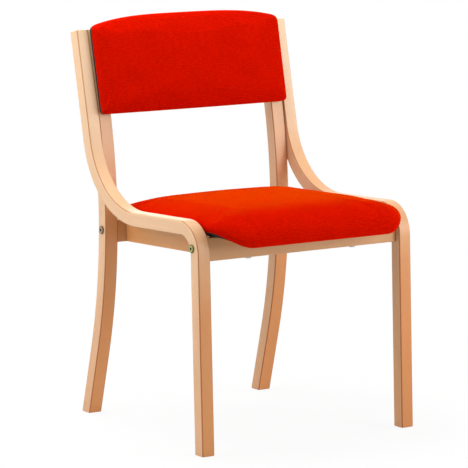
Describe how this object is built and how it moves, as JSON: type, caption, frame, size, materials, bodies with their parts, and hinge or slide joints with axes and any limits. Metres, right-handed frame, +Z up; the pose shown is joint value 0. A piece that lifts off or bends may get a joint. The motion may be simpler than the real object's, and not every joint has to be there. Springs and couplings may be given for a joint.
{
  "type": "conference chair",
  "caption": "Armless conference chair with bent laminated beech side hoops and curved rear legs, a waterfall seat pad and a hollowed, arch-topped back pad in orange-red fabric.",
  "frame": {"origin": "on the floor, at the centre of the chair's bounding box in plan", "axes": "+X to the right of a viewer who faces the front of the chair, -Y out of the chair's front, +Z up"},
  "size_m": [0.5178, 0.5436, 0.8279],
  "materials": {
    "beech": "clear satin lacquer",
    "plywood": "raw",
    "fabric": "woven, matt",
    "lining": "felted, matt",
    "zinc": "yellow zinc plated",
    "steel": "plain zinc plated"
  },
  "bodies": {
    "root": {"left_front_hoop": "beech", "right_front_hoop": "beech", "left_rear_leg": "beech", "right_rear_leg": "beech", "front_rail": "beech", "rear_rail": "beech", "left_side_rail": "beech", "right_side_rail": "beech", "seat_board": "plywood", "seat_lining": "lining", "seat_pad": "fabric", "back_board": "plywood", "back_cover": "fabric", "back_pad": "fabric", "left_front_frame_bolt": "zinc", "right_front_frame_bolt": "zinc", "left_rear_frame_bolt": "zinc", "right_rear_frame_bolt": "zinc", "left_front_barrel_nut": "zinc", "right_front_barrel_nut": "zinc", "left_rear_barrel_nut": "zinc", "right_rear_barrel_nut": "zinc", "left_front_seat_screw": "steel", "right_front_seat_screw": "steel", "left_rear_seat_screw": "steel", "right_rear_seat_screw": "steel", "left_lower_back_screw": "steel", "left_upper_back_screw": "steel", "right_lower_back_screw": "steel", "right_upper_back_screw": "steel"}
  },
  "joints": []
}
